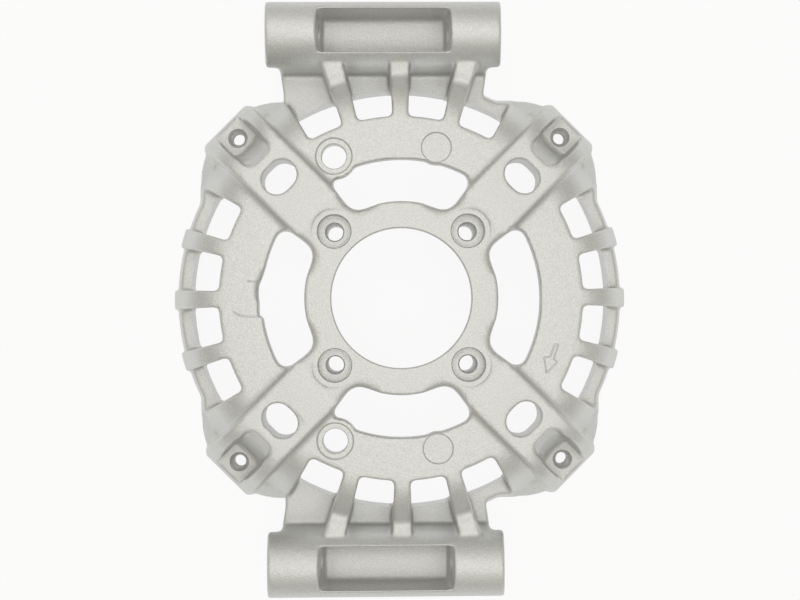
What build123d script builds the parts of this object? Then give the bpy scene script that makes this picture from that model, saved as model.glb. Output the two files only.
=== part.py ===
import os
from math import cos, radians, sin, sqrt, tan

from build123d import *

# Drive end bracket of an alternator: one aluminium die casting, in millimetres.
# The origin is on the shaft axis in the plane of the stator seat. +Z points out of the front.

# Rear rim, which the stator stack seats in
rim_height = 7.0
rim_radius = 77.5
rim_draft = 18.0
register_radius = 71.5
register_depth = 7.0

# Bell: the slotted ring in front and the flank that falls from it to the rim
face_height = 32.0
face_wall = 5.0
face_corner_radius = 67.4
flank_foot_radius = 77.3
flank_foot_height = 1.5
flank_foot_flare = 0.4
flank_wall = 5.2
face_rounding = 15.0

# Hub with the bearing seat
hub_height = 33.4
hub_radius = 31.1
shaft_opening_radius = 22.45
bearing_radius = 26.0
bearing_depth = 15.0
bearing_lip = 3.0

# Screws that hold the bearing's retainer plate
screw_spacing = 42.7
screw_hole_radius = 2.75
screw_boss_radius = 7.0
counterbore_radius = 5.3
counterbore_depth = 3.6
spot_face_radius = 7.0

# Spokes on the diagonals
spoke_height = 34.8
spoke_half_width = 9.5
spoke_draft = 3.5
spoke_toe_radius = 20.4
spoke_toe_height = 32.4
spoke_crest_start = 41.0
spoke_crest_end = 72.0
spoke_crest_rounding = 15.0
spoke_rise_rounding = 6.0
spoke_wall = 3.6
spoke_depth = 11.0
channel_half_width = 6.4
channel_rounding = 2.5
channel_clearance = 1.0
channel_end = 56.5

# Corner lugs with tapped holes for the housing bolts
lug_reach = 86.3
lug_half_side = 69.6
lug_rounding = 29.0
lug_top = 18.0
lug_corner_chamfer = 1.7
lug_side_draft = 38.0
bolt_circle_radius = 78.4
tapped_hole_radius = 2.3

# Seats in the feet of the spokes round the tapped holes, and the shallow pockets above them
seat_start = 73.6
seat_half_width = 5.25
pocket_top_radius = 61.2
pocket_slope = 49.6
pocket_start = 4.6
pocket_end = 21.5
pocket_half_width = 5.3
pocket_rounding = 2.6
pocket_depth = 1.6
pocket_draft = 5.0

# Kidney windows between hub and ring
window_outer_radius = 44.8
window_side_offset = 8.6
window_side_turn = 8.0
window_outer_rounding = 3.4
window_inner_rounding = 4.6
window_notch_width = 11.6
window_notch_depth = 0.9
window_notch_rounding = 0.8

# Slots in the bell and the ribs between them, as angles from each axis
slot_inner_radius = 58.6
slot_chamfer = 0.9
rib_half_angle = 2.5
rib_pitch = 16.0
slot_end_angle = 29.8

# Oval holes in the spokes
oval_radius = 54.7
oval_length = 11.8
oval_width = 9.3

# Through holes and ejector marks beside the upper and lower window
dowel_x = -21.4
dowel_y = 45.6
dowel_radius = 4.0
dowel_recess_radius = 5.6
dowel_boss_radius = 7.3
mark_x = 11.5
mark_y = 48.3
mark_radius = 4.8
mark_boss_radius = 5.4
recess_depth = 0.5

# Mounting tubes above and below
tube_height = 17.4
tube_offset = 88.25
tube_radius = 10.7
tube_left = -44.7
tube_right = 33.9
tube_end_draft = 4.5
tube_bore_radius = 4.25
tube_window_middle = -5.25
tube_window_length = 42.2
tube_window_half_width = 6.75
tube_window_shift = 0.45
tube_window_draft = 5.0
tube_window_chamfer = 1.0

# Webs and ribs that carry the tubes
web_left = -39.8
web_right = 29.2
web_flare = 1.0
web_flare_start = 71.0
web_underside = 1.0
web_outer_underside = 5.0
web_overlap = 12.0
web_wall_lean = 0.4
tube_rib_knee_radius = 73.5
tube_rib_knee_height = 20.5
tube_rib_knee_rounding = 2.5
tube_rib_top = 21.9

far = 140.0


def rounded_face(corners):
    """A flat face from corners of x, y and rounding radius, where 0 keeps a corner sharp."""
    points = [Vector(x, y) for x, y, radius in corners]
    entries = []
    exits = []
    arcs = []
    for index, corner in enumerate(points):
        radius = corners[index][2]
        back = (points[index - 1] - corner).normalized()
        ahead = (points[(index + 1) % len(points)] - corner).normalized()
        half_angle = radians(back.get_angle(ahead)) / 2
        setback = radius / tan(half_angle)
        entries.append(corner + back * setback)
        exits.append(corner + ahead * setback)
        if radius > 0:
            inward = (back + ahead).normalized()
            nearest = corner + inward * (radius / sin(half_angle) - radius)
            arcs.append(ThreePointArc(entries[-1], nearest, exits[-1]))
    sides = []
    for index, start in enumerate(exits):
        sides.append(Line(start, entries[(index + 1) % len(entries)]))
    return make_face(sides + arcs)


def radial_section(corners):
    """The same kind of face in the plane through the shaft axis, from radius, height and rounding."""
    return Plane.XZ * rounded_face(corners)


def wedge(start, end, inner, outer):
    """A plan sketch of the part of a ring between two angles."""
    middle = (start + end) / 2
    corners = [(0, 0)]
    for angle in (start, middle, end):
        corners.append((far * cos(radians(angle)), far * sin(radians(angle))))
    return Polygon(*corners, align=None) & (Circle(outer) - Circle(inner))


def on_diagonals(solid):
    """Four copies of a solid that lies along +X, turned to the four diagonals."""
    return [Rot(0, 0, 45 + 90 * quarter) * solid for quarter in range(4)]


def flank_radius(height):
    """Outer radius of the flank's straight part at a height."""
    slope = (flank_foot_radius - face_corner_radius) / (face_height - rim_height)
    return flank_foot_radius - slope * (height - rim_height)


def bell_outside():
    """The bell before it is hollowed, with the hub's raised face in its middle."""
    section = radial_section([
        (0, flank_foot_height, 0),
        (flank_foot_radius + flank_foot_flare, flank_foot_height, 0),
        (flank_foot_radius, rim_height, 0),
        (face_corner_radius, face_height, face_rounding),
        (hub_radius, face_height, 0),
        (hub_radius, hub_height, 0),
        (0, hub_height, 0),
    ])
    return revolve(section, axis=Axis.Z)


def tube_rib_sector():
    """The part of the bell whose three ribs dip to a knee and then run on to the upper tube."""
    half_angle = rib_pitch + rib_half_angle + 1
    reach = tube_offset - tube_radius / 4
    section = radial_section([
        (hub_radius, rim_height / 2, 0),
        (reach, rim_height / 2, 0),
        (reach, tube_rib_top, 0),
        (tube_offset - tube_radius, tube_rib_top, 0),
        (tube_rib_knee_radius, tube_rib_knee_height, tube_rib_knee_rounding),
        (face_corner_radius, face_height, face_rounding),
        (hub_radius, face_height, 0),
    ])
    return Rot(0, 0, 90 - half_angle) * revolve(section, axis=Axis.Z, revolution_arc=2 * half_angle)


def bell_inside():
    """The hollow of the bell, with the bore that the stator is centred in."""
    ceiling = face_height - face_wall
    corner_radius = flank_radius(ceiling) - flank_wall
    section = radial_section([
        (0, -1, 0),
        (register_radius, -1, 0),
        (register_radius, register_depth, 0),
        (corner_radius, ceiling, 0),
        (0, ceiling, 0),
    ])
    return revolve(section, axis=Axis.Z)


def slot_cutters():
    """Four slots on each of the four sides, with the ribs left standing between them."""
    cutters = []
    spans = []
    for step in (0, 1):
        start = step * rib_pitch + rib_half_angle
        end = (step + 1) * rib_pitch - rib_half_angle
        if step == 1:
            end = slot_end_angle
        spans.append((start, end))
        spans.append((-end, -start))
    for start, end in spans:
        plan = wedge(start, end, slot_inner_radius, far * 0.7)
        inner_corners = plan.vertices().sort_by_distance((0, 0, 0))[:2]
        plan = chamfer(inner_corners, slot_chamfer)
        solid = extrude(plan, face_height)
        for quarter in range(4):
            cutters.append(Rot(0, 0, 90 * quarter) * solid)
    return cutters


def flange():
    """The rear rim and the rounded square round it, whose edge leans further back beside the lugs."""
    slope = tan(radians(rim_draft))
    section = radial_section([
        (0, 0, 0),
        (rim_radius, 0, 0),
        (rim_radius - rim_height * slope, rim_height, 0),
        (0, rim_height, 0),
    ])
    plan = RectangleRounded(2 * lug_half_side, 2 * lug_half_side, lug_rounding)
    square = extrude(plan, rim_height, taper=rim_draft)
    leaning = extrude(plan, rim_height, taper=lug_side_draft)
    half_angle = 45 - slot_end_angle
    corner = extrude(wedge(-half_angle, half_angle, register_radius, far * 0.7), far)
    corners = Part() + on_diagonals(corner)
    return [revolve(section, axis=Axis.Z), square - corners, leaning & corners]


def web_plan():
    """Plan of the upper web, which flares where it meets the tube."""
    return make_face(Polyline(
        (web_left, 0),
        (web_left, web_flare_start),
        (web_left - web_flare, tube_offset - tube_radius),
        (web_left - web_flare, tube_offset),
        (web_right + web_flare, tube_offset),
        (web_right + web_flare, tube_offset - tube_radius),
        (web_right, web_flare_start),
        (web_right, 0),
        close=True,
    ))


def web():
    """The upper web, level with the rim, with the wall that rises from it to the tube's side."""
    wall = tube_offset - tube_radius
    side = Plane.YZ * make_face(Polyline(
        (rim_radius - web_overlap, web_underside),
        (rim_radius, web_underside),
        (tube_offset - tube_radius / 2, web_outer_underside),
        (tube_offset, tube_height - tube_radius),
        (tube_offset, tube_height),
        (wall, tube_height),
        (wall - web_wall_lean, rim_height),
        (rim_radius - web_overlap, rim_height),
        close=True,
    ))
    solid = extrude(side, far, both=True) & extrude(web_plan(), far)
    return solid - Cylinder(register_radius, far)


def tube_line(middle, length, radius):
    """A cylinder on the upper tube's axis."""
    return Pos(middle, tube_offset, tube_height) * Rot(0, 90, 0) * Cylinder(radius, length)


def tube():
    """The upper tube. Its end faces lean inwards from the parting line at mid height."""
    lean = 2 * tube_radius * tan(radians(tube_end_draft))
    ends = Plane.XZ * Polygon(
        (tube_left, tube_height),
        (tube_left + lean, tube_height + 2 * tube_radius),
        (tube_right - lean, tube_height + 2 * tube_radius),
        (tube_right, tube_height),
        (tube_right - lean, tube_height - 2 * tube_radius),
        (tube_left + lean, tube_height - 2 * tube_radius),
        align=None,
    )
    middle = (tube_left + tube_right) / 2
    return tube_line(middle, far, tube_radius) & extrude(ends, far, both=True)


def spoke_bar(underside, half_width, section):
    """A bar along +X with drafted sides, cut to a radial section."""
    top = spoke_height + 1
    growth = tan(radians(spoke_draft))
    plan = Pos(far / 2, 0, top) * Rectangle(far, 2 * (half_width - growth))
    bar = extrude(plan, underside - top, taper=-spoke_draft)
    return bar & extrude(section, far, both=True)


def spoke_end():
    """Radius and height of the top edge of the lug, where the spoke's outer slope ends."""
    return lug_reach - lug_top * tan(radians(rim_draft)), lug_top


def spokes():
    """Four drafted bars, level along the ring and falling away to the corner lugs."""
    end_radius, end_height = spoke_end()
    section = radial_section([
        (0, 0, 0),
        (lug_reach, 0, 0),
        (end_radius, end_height, 0),
        (spoke_crest_end, spoke_height, spoke_crest_rounding),
        (spoke_crest_start, spoke_height, spoke_rise_rounding),
        (spoke_toe_radius, spoke_toe_height, 0),
        (0, spoke_toe_height, 0),
    ])
    foot_half_width = spoke_half_width + spoke_height * tan(radians(spoke_draft))
    foot = Rectangle(2 * lug_reach, 2 * foot_half_width)
    foot = chamfer(foot.vertices(), lug_corner_chamfer)
    leaning = extrude(foot, far / 2, dir=(end_radius - lug_reach, 0, end_height))
    return on_diagonals(spoke_bar(-1, spoke_half_width, section) & leaning)


def spoke_insides():
    """The deep sides of each spoke inside the bell, from the hub out to the flank."""
    underside = spoke_height - spoke_depth
    flank = flank_radius(underside) - flank_wall / 2
    section = radial_section([
        (hub_radius / 2, underside, 0),
        (flank, underside, 0),
        (face_corner_radius - flank_wall, face_height - face_wall / 2, 0),
        (hub_radius / 2, face_height - face_wall / 2, 0),
    ])
    return on_diagonals(spoke_bar(underside - 1, spoke_half_width, section))


def spoke_channels():
    """The hollow between those sides, which leaves an even wall under each spoke."""
    ceiling = spoke_height - spoke_wall
    start = screw_spacing / sqrt(2) + screw_boss_radius + channel_clearance
    plan = RectangleRounded(channel_end - start, 2 * channel_half_width, channel_rounding)
    channel = extrude(Pos((start + channel_end) / 2, 0, -1) * plan, ceiling + 1)
    return on_diagonals(channel)


def web_pair(solid):
    return [solid, mirror(solid, about=Plane.XZ)]


def kidney_windows():
    """Four windows between hub and ring. Their rounded ends open away from the spokes' middles."""
    spread = (far - hub_radius) * tan(radians(window_side_turn))
    narrow = window_side_offset - hub_radius * tan(radians(window_side_turn))
    half_band = Polygon((0, narrow), (0, -narrow), (far, -window_side_offset - spread),
                        (far, window_side_offset + spread), align=None)
    plan = Circle(window_outer_radius) - Circle(hub_radius)
    plan -= on_diagonals(half_band)
    corners = plan.vertices()
    middle = (hub_radius + window_outer_radius) / 2
    outer = [corner for corner in corners if Vector(corner).length > middle]
    plan = fillet(outer, window_outer_rounding)
    inner = [corner for corner in plan.vertices() if Vector(corner).length < hub_radius + 1]
    plan = fillet(inner, window_inner_rounding)
    for side in (-1, 1):
        plan -= Pos(dowel_x, side * dowel_y) * Circle(dowel_boss_radius)
        plan -= Pos(mark_x, side * mark_y) * Circle(mark_boss_radius)
    notch = Pos(-window_outer_radius, 0) * Rectangle(2 * window_notch_depth, window_notch_width)
    notch = fillet(notch.vertices().group_by(Axis.X)[0], window_notch_rounding)
    return extrude(Pos(0, 0, bearing_seat_rear() - 1) * (plan + notch), far)


def bearing_seat_top():
    return hub_height - bearing_lip


def bearing_seat_rear():
    return bearing_seat_top() - bearing_depth


def screw_places():
    half = screw_spacing / 2
    return [Pos(half, half), Pos(-half, half), Pos(-half, -half), Pos(half, -half)]


def hub():
    """The boss inside the bell round the bearing, with a lobe for each retainer screw."""
    plan = Circle(hub_radius)
    for place in screw_places():
        plan += place * Circle(screw_boss_radius)
    return extrude(Pos(0, 0, bearing_seat_rear()) * plan, face_height - bearing_seat_rear() - 1)


def hub_cuts():
    """Shaft opening, bearing seat, and a counterbored hole in a shallow spot face for each screw."""
    cuts = [Cylinder(shaft_opening_radius, far)]
    seat = Pos(0, 0, bearing_seat_rear() - 1) * extrude(Circle(bearing_radius), bearing_depth + 1)
    cuts.append(seat)
    for place in screw_places():
        cuts.append(place * Cylinder(screw_hole_radius, far))
        bore_floor = Pos(0, 0, hub_height - counterbore_depth)
        cuts.append(place * bore_floor * extrude(Circle(counterbore_radius), far))
        cuts.append(place * Pos(0, 0, hub_height) * extrude(Circle(spot_face_radius), far))
    return cuts


def oval_holes():
    plan = Rot(0, 0, 90) * SlotOverall(oval_length, oval_width)
    return on_diagonals(Pos(oval_radius, 0, 0) * extrude(plan, far))


def ring_holes():
    """Upper and lower 8 mm hole, each in a shallow recess, and the round mark across from it."""
    cuts = []
    for side in (-1, 1):
        hole = Pos(dowel_x, side * dowel_y)
        mark = Pos(mark_x, side * mark_y)
        recess = Pos(0, 0, face_height - recess_depth)
        cuts.append(hole * Cylinder(dowel_radius, far))
        cuts.append(hole * recess * extrude(Circle(dowel_recess_radius), far))
        cuts.append(mark * recess * extrude(Circle(mark_radius), spoke_height))
    return cuts


def pocket_plane():
    """Plane that a lug's pocket is sunk from, with X running down towards the tapped hole."""
    slope = radians(pocket_slope)
    return Plane(origin=(pocket_top_radius, 0, spoke_height), x_dir=(cos(slope), 0, -sin(slope)),
                 z_dir=(sin(slope), 0, cos(slope)))


def lug_cuts():
    """A level seat in the foot of each spoke, the pocket above it and the tapped hole."""
    seat_plan = Rectangle(far, 2 * seat_half_width, align=(Align.MIN, Align.CENTER))
    seat = extrude(Pos(seat_start, 0, rim_height) * seat_plan, far)
    pocket_plan = Pos((pocket_start + pocket_end) / 2, 0, -pocket_depth) * Rectangle(
        pocket_end - pocket_start, 2 * pocket_half_width)
    upper_corners = pocket_plan.vertices().sort_by(Axis.X)[:2]
    pocket_plan = fillet(upper_corners, pocket_rounding)
    pocket = extrude(pocket_plane() * pocket_plan, spoke_height, taper=-pocket_draft)
    hole = Pos(bolt_circle_radius, 0, 0) * Cylinder(tapped_hole_radius, far)
    return on_diagonals(seat) + on_diagonals(pocket) + on_diagonals(hole)


def tube_cuts():
    """The bolt bore through both collars of the upper tube and the trough between them."""
    half_length = tube_window_length / 2
    half_width = tube_window_half_width
    rim = sqrt(tube_radius ** 2 - half_width ** 2) - tube_window_chamfer
    flare = tube_radius - rim
    across = Plane.YZ * Polygon(
        (half_width, 0),
        (half_width, rim),
        (half_width + flare, tube_radius),
        (-half_width - flare, tube_radius),
        (-half_width, rim),
        (-half_width, 0),
        align=None,
    )
    lean = tube_radius * tan(radians(tube_window_draft))
    along = Plane.XZ * Polygon(
        (half_length, 0),
        (half_length + lean, tube_radius),
        (-half_length - lean, tube_radius),
        (-half_length, 0),
        align=None,
    )
    mouth = extrude(across, far, both=True) & extrude(along, far, both=True)
    mouth = Pos(tube_window_middle, tube_offset, tube_height) * mouth
    floor = tube_line(tube_window_middle, tube_window_length, half_width)
    bore = tube_line(tube_window_middle, far, tube_bore_radius)
    return [bore, Pos(0, -tube_window_shift, 0) * (floor + mouth)]


shape = bell_outside() + web_pair(tube_rib_sector())
shape -= slot_cutters()
shape += flange() + web_pair(web())
shape += spokes()
shape += web_pair(tube())
shape -= bell_inside()
shape += [hub()] + spoke_insides()
shape -= spoke_channels()
shape -= kidney_windows()
shape -= hub_cuts() + oval_holes() + ring_holes()
shape -= lug_cuts()
for cut in tube_cuts():
    shape -= web_pair(cut)
os.makedirs("parts", exist_ok=True)
export_step(shape, "parts/bracket_casting.step")
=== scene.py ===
from math import cos, pi, radians, sin, sqrt

import bmesh
import bpy
from mathutils import Matrix, Vector


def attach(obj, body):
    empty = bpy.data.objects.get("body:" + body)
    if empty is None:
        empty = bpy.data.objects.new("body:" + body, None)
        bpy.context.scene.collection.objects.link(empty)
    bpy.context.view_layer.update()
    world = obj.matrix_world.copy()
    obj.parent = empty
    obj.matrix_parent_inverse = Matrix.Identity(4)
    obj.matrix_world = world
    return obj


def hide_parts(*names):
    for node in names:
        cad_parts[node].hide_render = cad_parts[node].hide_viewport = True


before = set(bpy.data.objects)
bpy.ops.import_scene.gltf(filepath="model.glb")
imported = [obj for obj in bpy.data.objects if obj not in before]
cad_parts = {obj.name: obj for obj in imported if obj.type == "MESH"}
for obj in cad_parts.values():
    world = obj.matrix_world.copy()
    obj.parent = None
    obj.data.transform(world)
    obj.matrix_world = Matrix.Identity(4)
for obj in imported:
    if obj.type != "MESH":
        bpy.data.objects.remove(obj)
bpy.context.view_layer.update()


# Photo table. The casting lies on its rear rim on a pale table, under a large soft lamp and a
# small one, and is photographed from straight above. The distance of the camera is the one that
# the picture's perspective gives.

scene = bpy.context.scene
mm = 0.001


class Wire:
    """A node's output socket. Sums and products of wires and numbers add Math nodes."""

    def __init__(self, tree, socket):
        self.tree = tree
        self.socket = socket

    def math(self, operation, *others):
        return self.tree.math(operation, self, *others)

    def __add__(self, other):
        return self.tree.math("ADD", self, other)

    def __radd__(self, other):
        return self.tree.math("ADD", other, self)

    def __mul__(self, other):
        return self.tree.math("MULTIPLY", self, other)

    def __rmul__(self, other):
        return self.tree.math("MULTIPLY", other, self)

    def __sub__(self, other):
        return self.tree.math("SUBTRACT", self, other)

    def __rsub__(self, other):
        return self.tree.math("SUBTRACT", other, self)


class Tree:
    """A node tree under construction."""

    def __init__(self, node_tree):
        self.tree = node_tree
        self.tree.nodes.clear()

    def add(self, kind, inputs=None, output=0, **settings):
        """Adds a node, sets its settings, sets or links its inputs, and gives one output."""
        node = self.tree.nodes.new(kind)
        for name, value in settings.items():
            setattr(node, name, value)
        for key, value in (inputs or {}).items():
            socket = node.inputs[key]
            if isinstance(value, Wire):
                self.tree.links.new(value.socket, socket)
            else:
                socket.default_value = value
        if len(node.outputs) == 0:
            return node
        return Wire(self, node.outputs[output])

    def math(self, operation, *values):
        return self.add("ShaderNodeMath", dict(enumerate(values)), operation=operation)


def new_material(name):
    """A new material, and its node tree to build."""
    material = bpy.data.materials.new(name)
    material.use_nodes = True
    return material, Tree(material.node_tree)


white = (1.0, 1.0, 1.0, 1.0)
table_size = 3.0
table_drop = 0.0002
table_grey = (0.86, 0.86, 0.86, 1.0)
table_white_seen = 0.9
table_white_mirrored = 0.8

table_paint, nodes = new_material("table_top")
matte = nodes.add("ShaderNodeBsdfDiffuse", {"Color": table_grey})
bright = nodes.add("ShaderNodeEmission", {"Color": white, "Strength": 1.0})
seen = nodes.add("ShaderNodeLightPath", output="Is Camera Ray")
mirrored = nodes.add("ShaderNodeLightPath", output="Is Glossy Ray")
share = seen * table_white_seen + mirrored * table_white_mirrored
mixed = nodes.add("ShaderNodeMixShader", {0: share, 1: matte, 2: bright})
nodes.add("ShaderNodeOutputMaterial", {"Surface": mixed})

table_mesh = bpy.data.meshes.new("table_top")
table_corners = []
for x, y in ((-1, -1), (1, -1), (1, 1), (-1, 1)):
    table_corners.append((x * table_size / 2, y * table_size / 2, -table_drop))
table_mesh.from_pydata(table_corners, [], [(0, 1, 2, 3)])
table_mesh.materials.append(table_paint)
table = bpy.data.objects.new("table_top", table_mesh)
scene.collection.objects.link(table)

room_tint = (1.0, 0.97, 0.88, 1.0)
room_strength = 0.49
world = bpy.data.worlds.new("studio")
scene.world = world
world.use_nodes = True
nodes = Tree(world.node_tree)
seen = nodes.add("ShaderNodeLightPath", output="Is Camera Ray")
room = nodes.add("ShaderNodeBackground", {"Color": room_tint, "Strength": room_strength})
backdrop = nodes.add("ShaderNodeBackground", {"Color": white, "Strength": 1.0})
mixed = nodes.add("ShaderNodeMixShader", {0: seen, 1: room, 2: backdrop})
nodes.add("ShaderNodeOutputWorld", {"Surface": mixed})


def lamp(name, place, size, watts):
    """A square soft lamp, turned to the middle of the casting."""
    data = bpy.data.lights.new(name, "AREA")
    data.shape = "SQUARE"
    data.size = size
    data.energy = watts
    light = bpy.data.objects.new(name, data)
    light.location = place
    light.rotation_euler = (-Vector(place)).to_track_quat("-Z", "Y").to_euler()
    scene.collection.objects.link(light)


lamp("large_softbox", place=(0.12, -0.14, 1.47), size=1.35, watts=6.0)
lamp("top_softbox", place=(-0.25, 0.55, 0.80), size=0.6, watts=1.0)

camera_place = Vector((-5.589, -3.827, 369.96)) * mm
camera_turn = (radians(0.549), radians(-0.867), radians(-0.333))
camera_data = bpy.data.cameras.new("camera")
camera_data.sensor_width = 36.0
camera_data.lens = 47.52
camera_data.clip_start = 0.01
camera = bpy.data.objects.new("camera", camera_data)
camera.location = camera_place
camera.rotation_euler = camera_turn
scene.collection.objects.link(camera)
scene.camera = camera
scene.view_settings.view_transform = "Standard"


# Casting. One high-pressure die casting in aluminium: slotted bell, hub on four spokes, corner
# lugs and two mounting tubes. It is shot-blasted to a matt pale grey, then bored, drilled and
# faced, so that the soft skin of the die ends crisply at each machined surface.

# The blasted skin: grain is the fine pitting of the shot, peening its larger dimples, and cloud
# the uneven pass of the blast, which leaves the metal a little darker and smoother in places.
cast_grey = (0.73, 0.733, 0.718)
cast_metallic = 0.95
grain_scale = 2300.0
peening_scale = 700.0
cloud_scale = 55.0
grain_tone = 0.50
cloud_tone = 0.12
least_tone = 0.69
peening_height = 0.6
pit_depth = 0.0002
pit_strength = 0.6
cloud_rough = 0.10
least_rough = 0.47

cast_metal, nodes = new_material("shot_blasted_aluminium")
place = nodes.add("ShaderNodeTexCoord", output="Object")
grain = nodes.add("ShaderNodeTexNoise", {
    "Vector": place, "Scale": grain_scale, "Detail": 2.0, "Roughness": 0.6})
peening = nodes.add("ShaderNodeTexNoise", {
    "Vector": place, "Scale": peening_scale, "Detail": 2.0, "Roughness": 0.5})
cloud = nodes.add("ShaderNodeTexNoise", {
    "Vector": place, "Scale": cloud_scale, "Detail": 4.0, "Roughness": 0.6})
tone = cloud * cloud_tone + grain * grain_tone + least_tone
colour = nodes.add("ShaderNodeVectorMath", {0: cast_grey, "Scale": tone}, operation="SCALE")
height = grain + peening * peening_height
bump = nodes.add("ShaderNodeBump", {
    "Strength": pit_strength, "Distance": pit_depth, "Height": height})
rough = cloud * cloud_rough + least_rough
shader = nodes.add("ShaderNodeBsdfPrincipled", {
    "Base Color": colour, "Metallic": cast_metallic, "Roughness": rough, "Normal": bump})
nodes.add("ShaderNodeOutputMaterial", {"Surface": shader})

# The machined surfaces: brighter, with the rings that the cutter leaves round each screw hole.
machined_grey = (0.78, 0.78, 0.77, 1.0)
machined_metallic = 1.0
screw_spacing = 42.7
ring_scale = 5000.0
scratch_scale = 900.0
scratch_height = 0.4
mark_depth = 0.00005
mark_strength = 0.3
ring_rough = 0.12
least_machined_rough = 0.34

machined_metal, nodes = new_material("machined_aluminium")
screw_axis = screw_spacing / 2 * mm
place = nodes.add("ShaderNodeTexCoord", output="Object")
quarter = nodes.add("ShaderNodeVectorMath", {0: place}, operation="ABSOLUTE")
flat = nodes.add("ShaderNodeVectorMath", {0: quarter, 1: (1.0, 1.0, 0.0)}, operation="MULTIPLY")
from_screw = nodes.add("ShaderNodeVectorMath", {0: flat, 1: (screw_axis, screw_axis, 0.0)},
                       output="Value", operation="DISTANCE")
rings = nodes.add("ShaderNodeTexNoise", {"W": from_screw * ring_scale, "Scale": 1.0, "Detail": 1.0},
                  noise_dimensions="1D")
scratches = nodes.add("ShaderNodeTexNoise", {
    "Vector": place, "Scale": scratch_scale, "Detail": 2.0})
height = rings + scratches * scratch_height
bump = nodes.add("ShaderNodeBump", {
    "Strength": mark_strength, "Distance": mark_depth, "Height": height})
rough = rings * ring_rough + least_machined_rough
shader = nodes.add("ShaderNodeBsdfPrincipled", {
    "Base Color": machined_grey, "Metallic": machined_metallic, "Roughness": rough, "Normal": bump})
nodes.add("ShaderNodeOutputMaterial", {"Surface": shader})


def new_piece(name, mesh):
    piece = bpy.data.objects.new(name, mesh)
    scene.collection.objects.link(piece)
    return piece


def finished(piece):
    """Gives a piece the mesh that its modifiers make, and takes the modifiers off."""
    evaluated = piece.evaluated_get(bpy.context.evaluated_depsgraph_get())
    mesh = bpy.data.meshes.new_from_object(evaluated)
    piece.modifiers.clear()
    piece.data = mesh


def cut_with(piece, tools, solver):
    """Cuts the tools out of a piece one by one, and takes the tools away."""
    for tool in tools:
        cut = piece.modifiers.new("cut", "BOOLEAN")
        cut.operation = "DIFFERENCE"
        cut.solver = solver
        cut.object = tool
    finished(piece)
    for tool in tools:
        bpy.data.objects.remove(tool)


same_point = 1e-6
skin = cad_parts["bracket_casting"].data.copy()
shape = bmesh.new()
shape.from_mesh(skin)
bmesh.ops.remove_doubles(shape, verts=shape.verts, dist=same_point)
shape.to_mesh(skin)
shape.free()
skin.materials.clear()
skin.materials.append(cast_metal)
casting = new_piece("casting", skin)


# Two shapes of the die are finished on the bare solid: the wall behind each lug's seat, which
# leans back towards the hub in a rounded groove, and the dished floor of each tube's trough.
def prism(name, lower_loop, upper_loop, place):
    """A solid between two loops of as many points, in mm."""
    mesh = bpy.data.meshes.new(name)
    shape = bmesh.new()
    lower = [shape.verts.new(Vector(point) * mm) for point in lower_loop]
    upper = [shape.verts.new(Vector(point) * mm) for point in upper_loop]
    shape.faces.new(lower)
    shape.faces.new(upper)
    for index in range(len(lower)):
        after = (index + 1) % len(lower)
        shape.faces.new((lower[index], lower[after], upper[after], upper[index]))
    bmesh.ops.triangulate(shape, faces=shape.faces)
    bmesh.ops.recalc_face_normals(shape, faces=shape.faces)
    shape.transform(place)
    shape.to_mesh(mesh)
    shape.free()
    return new_piece(name, mesh)


groove_half_width = 5.2
groove_corner = 3.0
groove_corner_steps = 6
groove_start = 73.6
groove_out = 90.0
groove_bottom = 7.0
groove_top = 36.0
groove_lean = 0.39

corner = []
for part in range(groove_corner_steps + 1):
    angle = radians(90 * part / groove_corner_steps)
    corner.append((groove_start + groove_corner * (1 - sin(angle)),
                   groove_half_width - groove_corner * (1 - cos(angle))))
outline = [(groove_out, -groove_half_width), (groove_out, groove_half_width)] + corner
outline += [(along, -across) for along, across in reversed(corner)]
lower_loop = [(along, across, groove_bottom) for along, across in outline]
upper_loop = []
for along, across in outline:
    lean = groove_lean * (groove_top - groove_bottom) if along < groove_out else 0
    upper_loop.append((along - lean, across, groove_top))


def to_lug(quarter):
    """Turns the +X axis to one of the four corner lugs."""
    return Matrix.Rotation(radians(45 + 90 * quarter), 4, "Z")


die_cuts = [prism("groove", lower_loop, upper_loop, to_lug(quarter)) for quarter in range(4)]

tube_place = (-5.4, 88.25, 17.4)
trough_start = -26.1
trough_end = 15.6
trough_half_width = 6.75
trough_bottom = -6.75
trough_dish = 13.5
trough_dish_steps = 12
trough_over = 14.0

section = [(trough_half_width, trough_over), (-trough_half_width, trough_over)]
for part in range(trough_dish_steps + 1):
    across = trough_half_width * (2 * part / trough_dish_steps - 1)
    rise = trough_dish - sqrt(trough_dish ** 2 - across ** 2)
    section.append((across, trough_bottom + rise))
start_loop = [(trough_start, across, up) for across, up in section]
end_loop = [(trough_end, across, up) for across, up in section]
for side in (-1, 1):
    tube = Matrix.Translation((0, side * tube_place[1] * mm, tube_place[2] * mm))
    die_cuts.append(prism("trough", start_loop, end_loop, tube))
cut_with(casting, die_cuts, "EXACT")


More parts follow.
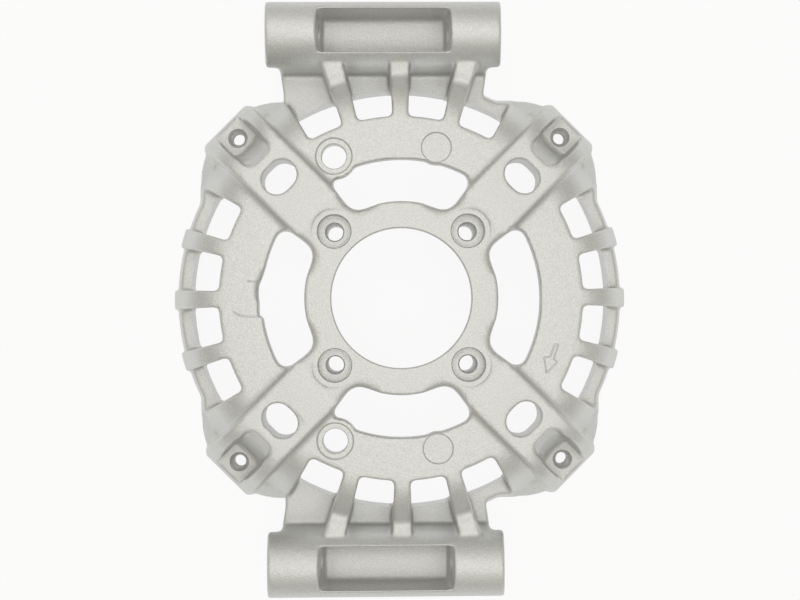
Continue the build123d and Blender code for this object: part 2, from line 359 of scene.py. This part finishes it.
# Every machined hole is filled with a plug before the skin is softened, and cut afterwards, so
# that its edge stays crisp. Plugs and cutters are turned shapes.
def turned(name, profile, place, sides, material):
    """A closed solid turned about an axis: profile points of radius and height, in mm."""
    mesh = bpy.data.meshes.new(name)
    shape = bmesh.new()
    rings = []
    for radius, height in profile:
        if radius == 0:
            rings.append([shape.verts.new((0, 0, height * mm))])
            continue
        ring = []
        for side in range(sides):
            angle = 2 * pi * side / sides
            point = (radius * mm * cos(angle), radius * mm * sin(angle), height * mm)
            ring.append(shape.verts.new(point))
        rings.append(ring)
    for lower, upper in zip(rings, rings[1:] + rings[:1]):
        if len(lower) == 1 and len(upper) == 1:
            continue
        for side in range(sides):
            ahead = (side + 1) % sides
            if len(lower) == 1:
                shape.faces.new((lower[0], upper[ahead], upper[side]))
            elif len(upper) == 1:
                shape.faces.new((lower[side], lower[ahead], upper[0]))
            else:
                shape.faces.new((lower[side], lower[ahead], upper[ahead], upper[side]))
    bmesh.ops.recalc_face_normals(shape, faces=shape.faces)
    shape.transform(place)
    shape.to_mesh(mesh)
    shape.free()
    mesh.materials.append(material)
    return new_piece(name, mesh)


def around(spacing):
    """The four corners of a square round the shaft."""
    half = spacing / 2 * mm
    return [Matrix.Translation((x * half, y * half, 0)) for x in (-1, 1) for y in (-1, 1)]


def above_and_below(x, y):
    return [Matrix.Translation((x * mm, side * y * mm, 0)) for side in (-1, 1)]


def along_tubes():
    across = Matrix.Rotation(radians(90), 4, "Y")
    x, y, z = tube_place
    return [Matrix.Translation((x * mm, side * y * mm, z * mm)) @ across for side in (-1, 1)]


def on_seats():
    """Four-sided cutters, stretched along the diagonals over the flat seat of each lug."""
    seat_middle = 81.6 * mm
    seat_stretch = 1.3
    square = Matrix.Rotation(radians(45), 4, "Z")
    long = Matrix.Diagonal((seat_stretch, 1.0, 1.0, 1.0))
    onward = Matrix.Translation((seat_middle, 0, 0))
    return [to_lug(quarter) @ onward @ long @ square for quarter in range(4)]


def plug(radius, low, high):
    return [(0, low), (radius, low), (radius, high), (0, high)]


rim_top = 7.0
face_top = 32.0
recess_floor = 31.5
hub_top = 33.4
hub_back = 15.4
bearing_top = 30.4
counterbore_floor = 29.8
seat_level = 6.95
over = 40.0
shaft_radius = 22.45
bearing_radius = 26.0
register_radius = 71.5
screw_radius = 2.75
counterbore_radius = 5.3
spot_face_radius = 7.2
seat_radius = 7.35
drilled_radius = 2.3
locating_radius = 4.0
recess_radius = 5.55
recess_rim = 6.1
mark_radius = 4.6
mark_rim = 5.05
bolt_radius = 4.25
lug_circle = 78.4
lug_spacing = lug_circle * sqrt(2)
locating_places = above_and_below(-21.4, 45.6)
mark_places = above_and_below(11.5, 48.3)
on_axis = [Matrix.Identity(4)]
round_sides = 96
seat_sides = 4

# A plug is wider than its hole and no longer than the metal round it. A cutter is as wide as its
# hole, with the chamfer or flare at its mouth, and runs on past the surface.
shaft_plug = plug(24, 30, hub_top)
bearing_plug = plug(27, hub_back, 31)
register_plug = [(67, 0), (72, 0), (72, rim_top), (67, rim_top)]
screw_plug = plug(6, hub_back, hub_top)
tapped_plug = plug(3.6, 0, rim_top)
locating_plug = plug(6.2, 27, face_top)
mark_plug = plug(5.4, 28, face_top)
plugs = [
    (shaft_plug, on_axis),
    (bearing_plug, on_axis),
    (register_plug, on_axis),
    (screw_plug, around(screw_spacing)),
    (tapped_plug, around(lug_spacing)),
    (locating_plug, locating_places),
    (mark_plug, mark_places),
]

shaft_cut = [
    (0, 28), (shaft_radius, 28), (shaft_radius, 33.1), (22.75, hub_top), (22.75, over), (0, over)]
bearing_cut = plug(bearing_radius, 10, bearing_top)
register_cut = [(60, -5), (register_radius, -5), (register_radius, 7.05), (60, 7.05)]
screw_cut = [
    (0, 10), (screw_radius, 10), (screw_radius, 29.4), (3.15, counterbore_floor),
    (counterbore_radius, counterbore_floor), (counterbore_radius, 33.0), (5.55, hub_top),
    (spot_face_radius, hub_top), (spot_face_radius, over), (0, over)]
seat_cut = plug(seat_radius, seat_level, 8.4)
tapped_cut = [
    (0, -3), (2.8, -3), (2.8, 0.0), (drilled_radius, 0.5), (drilled_radius, 5.9),
    (3.4, rim_top), (3.4, 20), (0, 20)]
locating_cut = [
    (0, 20), (locating_radius, 20), (locating_radius, 31.3), (4.2, recess_floor),
    (recess_radius, recess_floor), (recess_rim, 32.05), (recess_rim, over), (0, over)]
mark_cut = [
    (0, recess_floor), (mark_radius, recess_floor), (mark_rim, 32.05), (mark_rim, over), (0, over)]
bolt_cut = plug(bolt_radius, -60, 60)
machining = [
    (shaft_cut, round_sides, on_axis),
    (bearing_cut, round_sides, on_axis),
    (register_cut, round_sides, on_axis),
    (screw_cut, round_sides, around(screw_spacing)),
    (seat_cut, seat_sides, on_seats()),
    (tapped_cut, round_sides, around(lug_spacing)),
    (locating_cut, round_sides, locating_places),
    (mark_cut, round_sides, mark_places),
    (bolt_cut, round_sides, along_tubes()),
]

fillers = []
for profile, places in plugs:
    for place in places:
        fillers.append(turned("plug", profile, place, round_sides, cast_metal))
with bpy.context.temp_override(
        active_object=casting, selected_editable_objects=[casting] + fillers):
    bpy.ops.object.join()

# The skin is made anew in small even faces, and smoothed until its edges have the die's radii.
skin_voxel = 0.4
smoothing = 0.5
die_radius_rounds = 18
evening_rounds = 4
faces_kept = 0.15
crisp_edge = radians(30)

remesh = casting.modifiers.new("die_skin", "REMESH")
remesh.mode = "VOXEL"
remesh.voxel_size = skin_voxel * mm
soften = casting.modifiers.new("die_radii", "SMOOTH")
soften.factor = smoothing
soften.iterations = die_radius_rounds


def shape_tree(name, sizes):
    """Starts a Geometry Nodes tree with named inputs, and gives the wires that they feed."""
    group = bpy.data.node_groups.new(name, "GeometryNodeTree")
    group.interface.new_socket("Geometry", in_out="INPUT", socket_type="NodeSocketGeometry")
    for label, value in sizes.items():
        kind = "NodeSocketInt" if isinstance(value, int) else "NodeSocketFloat"
        group.interface.new_socket(label, in_out="INPUT", socket_type=kind)
    group.interface.new_socket("Geometry", in_out="OUTPUT", socket_type="NodeSocketGeometry")
    tree = Tree(group)
    wires = {}
    for label in ["Geometry"] + list(sizes):
        wires[label] = tree.add("NodeGroupInput", output=label)
    return tree, wires


def close_tree(tree, geometry, material):
    solid = tree.add("GeometryNodeRealizeInstances", {"Geometry": geometry})
    painted = tree.add("GeometryNodeSetMaterial", {"Geometry": solid, "Material": material})
    tree.add("NodeGroupOutput", {"Geometry": painted})


def run_tree(piece, tree, sizes):
    """Puts a tree on a piece, with its inputs set by their identifiers."""
    modifier = piece.modifiers.new(tree.tree.name, "NODES")
    modifier.node_group = tree.tree
    for socket in tree.tree.interface.items_tree:
        if socket.name in sizes:
            modifier[socket.identifier] = sizes[socket.name]


# A die's inner corners have larger radii than its outer edges, so metal is added where the
# blurred skin lies in front of the skin itself. The sides of the four arms and the inner corners
# of the windows are rounder still, and the step in the left window's edge is a gentle curve.
# Each zone is given by the distances, in mm, at which its blur starts and is full.
die_rounds = {"Inner corner rounds": 10, "Arm rounds": 8, "Window rounds": 50}
past_screw_zone = (37.5, 41.0)
before_lug_zone = (71.0, 66.0)
crest_side_zone = (6.0, 7.5)
pocket_side_zone = (14.0, 12.0)
step_zone = (5.5, 3.0)
corner_zone = (8.0, 2.0)
window_step = (-44.6 * mm, 4.4 * mm, 0.0)
window_corner = (28.9 * mm, 14.6 * mm)
diagonal = sqrt(0.5)

nodes, given = shape_tree("die_rounding", die_rounds)
point = nodes.add("GeometryNodeInputPosition")
normal = nodes.add("GeometryNodeInputNormal")


def blurred(rounds, weight):
    return nodes.add("GeometryNodeBlurAttribute", {
        "Value": point, "Iterations": rounds, "Weight": weight}, data_type="FLOAT_VECTOR")


def zone(distance, limits):
    """From 0 where a zone starts to 1 where it is full."""
    start, full = limits
    return nodes.add("ShaderNodeMapRange", {
        "Value": distance, "From Min": start * mm, "From Max": full * mm},
        interpolation_type="SMOOTHSTEP")


shift = nodes.add("ShaderNodeVectorMath", {0: blurred(given["Inner corner rounds"], 1.0), 1: point},
                  operation="SUBTRACT")
depth = nodes.add("ShaderNodeVectorMath", {0: shift, 1: normal}, output="Value",
                  operation="DOT_PRODUCT")
fill = nodes.add("ShaderNodeVectorMath", {0: normal, "Scale": depth.math("MAXIMUM", 0.0)},
                 operation="SCALE")
filled = nodes.add("GeometryNodeSetPosition", {"Geometry": given["Geometry"], "Offset": fill})

quarter = nodes.add("ShaderNodeVectorMath", {0: point}, operation="ABSOLUTE")
along = nodes.add("ShaderNodeVectorMath", {0: quarter, 1: (diagonal, diagonal, 0.0)},
                  output="Value", operation="DOT_PRODUCT")
across = nodes.add("ShaderNodeVectorMath", {0: quarter, 1: (diagonal, -diagonal, 0.0)},
                   output="Value", operation="DOT_PRODUCT").math("ABSOLUTE")
arm = (zone(along, past_screw_zone) * zone(along, before_lug_zone)
       * zone(across, crest_side_zone) * zone(across, pocket_side_zone))
softened = nodes.add("GeometryNodeSetPosition", {
    "Geometry": filled, "Position": blurred(given["Arm rounds"], arm)})

plan = nodes.add("ShaderNodeVectorMath", {0: point, 1: (1.0, 1.0, 0.0)}, operation="MULTIPLY")
from_step = nodes.add("ShaderNodeVectorMath", {0: plan, 1: window_step}, output="Value",
                      operation="DISTANCE")
quarter_x = nodes.add("ShaderNodeSeparateXYZ", {"Vector": quarter}, output="X")
quarter_y = nodes.add("ShaderNodeSeparateXYZ", {"Vector": quarter}, output="Y")
farther = quarter_x.math("MAXIMUM", quarter_y) - window_corner[0]
nearer = quarter_x.math("MINIMUM", quarter_y) - window_corner[1]
from_corner = (farther * farther + nearer * nearer).math("SQRT")
round_off = zone(from_step, step_zone).math("MAXIMUM", zone(from_corner, corner_zone))
eased = nodes.add("GeometryNodeSetPosition", {
    "Geometry": softened, "Position": blurred(given["Window rounds"], round_off)})
close_tree(nodes, eased, cast_metal)
run_tree(casting, nodes, die_rounds)

even = casting.modifiers.new("even_skin", "SMOOTH")
even.factor = smoothing
even.iterations = evening_rounds
thin = casting.modifiers.new("fewer_faces", "DECIMATE")
thin.ratio = faces_kept
finished(casting)

cutters = []
for profile, sides, places in machining:
    for place in places:
        cutters.append(turned("cutter", profile, place, sides, machined_metal))
cut_with(casting, cutters, "MANIFOLD")
casting.data.set_sharp_from_angle(angle=crisp_edge)
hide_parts("bracket_casting")
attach(casting, "root")


# Threads. The four corner lugs are tapped, after they are drilled, for the screws that clamp
# the two halves of the housing. Each thread is a fine ridge of machined aluminium in its hole.

thread_start = 0.9
thread_sizes = {"Turns": 5.6, "Pitch": 0.8 * mm, "Radius": 2.34 * mm, "Ridge": 0.26 * mm}

nodes, given = shape_tree("thread", thread_sizes)
helix = nodes.add("GeometryNodeCurveSpiral", {
    "Resolution": 40, "Rotations": given["Turns"], "Start Radius": given["Radius"],
    "End Radius": given["Radius"], "Height": given["Turns"] * given["Pitch"]})
crest = nodes.add("GeometryNodeCurvePrimitiveCircle", {"Resolution": 6, "Radius": given["Ridge"]})
ridge = nodes.add("GeometryNodeCurveToMesh", {
    "Curve": helix, "Profile Curve": crest, "Fill Caps": True})
copies = nodes.add("GeometryNodeInstanceOnPoints", {
    "Points": given["Geometry"], "Instance": ridge})
close_tree(nodes, copies, machined_metal)

lug = lug_spacing / 2 * mm
holes = bpy.data.meshes.new("threads")
holes.from_pydata(
    [(x * lug, y * lug, thread_start * mm) for x in (-1, 1) for y in (-1, 1)], [], [])
threads = new_piece("threads", holes)
run_tree(threads, nodes, thread_sizes)
finished(threads)
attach(threads, "root")


# Raised lines. The die leaves a small outlined arrow for the direction of rotation on the right
# of the face, and fine flash lines between its inserts on the left. They are cast with the rest
# and stand a fraction of a millimetre above the face.

arrow = [
    (49.17, -15.14), (47.66, -19.04), (45.67, -19.15), (46.34, -24.28),
    (49.87, -20.88), (48.78, -19.78), (50.3, -15.15)]
upper_flash = [(-49.4, 5.67), (-45.57, 5.52)]
lower_flash = [(-53.8, -3.99), (-51.71, -5.31), (-49.06, -5.64), (-45.37, -5.63)]
drawn_height = 60.0
longest_drop = 100.0
line_sizes = {"Step": 0.4 * mm, "Ridge": 0.29 * mm}

nodes, given = shape_tree("raised_lines", line_sizes)
drawn = nodes.add("GeometryNodeMeshToCurve", {"Mesh": given["Geometry"]})
even_points = nodes.add("GeometryNodeResampleCurve", {"Curve": drawn, "Length": given["Step"]},
                        mode="LENGTH")
face = nodes.add("GeometryNodeObjectInfo", {"Object": casting}, output="Geometry")
landed = nodes.add("GeometryNodeRaycast", {
    "Target Geometry": face, "Ray Direction": (0.0, 0.0, -1.0),
    "Ray Length": longest_drop * mm}, output="Hit Position")
laid = nodes.add("GeometryNodeSetPosition", {"Geometry": even_points, "Position": landed})
bead = nodes.add("GeometryNodeCurvePrimitiveCircle", {"Resolution": 8, "Radius": given["Ridge"]})
ridge = nodes.add("GeometryNodeCurveToMesh", {
    "Curve": laid, "Profile Curve": bead, "Fill Caps": True})
close_tree(nodes, ridge, cast_metal)

line_points = []
line_edges = []
for line, closed in ((arrow, True), (upper_flash, False), (lower_flash, False)):
    first = len(line_points)
    for x, y in line:
        line_points.append((x * mm, y * mm, drawn_height * mm))
    for index in range(len(line) - 1):
        line_edges.append((first + index, first + index + 1))
    if closed:
        line_edges.append((first + len(line) - 1, first))
line_mesh = bpy.data.meshes.new("raised_lines")
line_mesh.from_pydata(line_points, line_edges, [])
lines = new_piece("raised_lines", line_mesh)
run_tree(lines, nodes, line_sizes)
finished(lines)
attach(lines, "root")
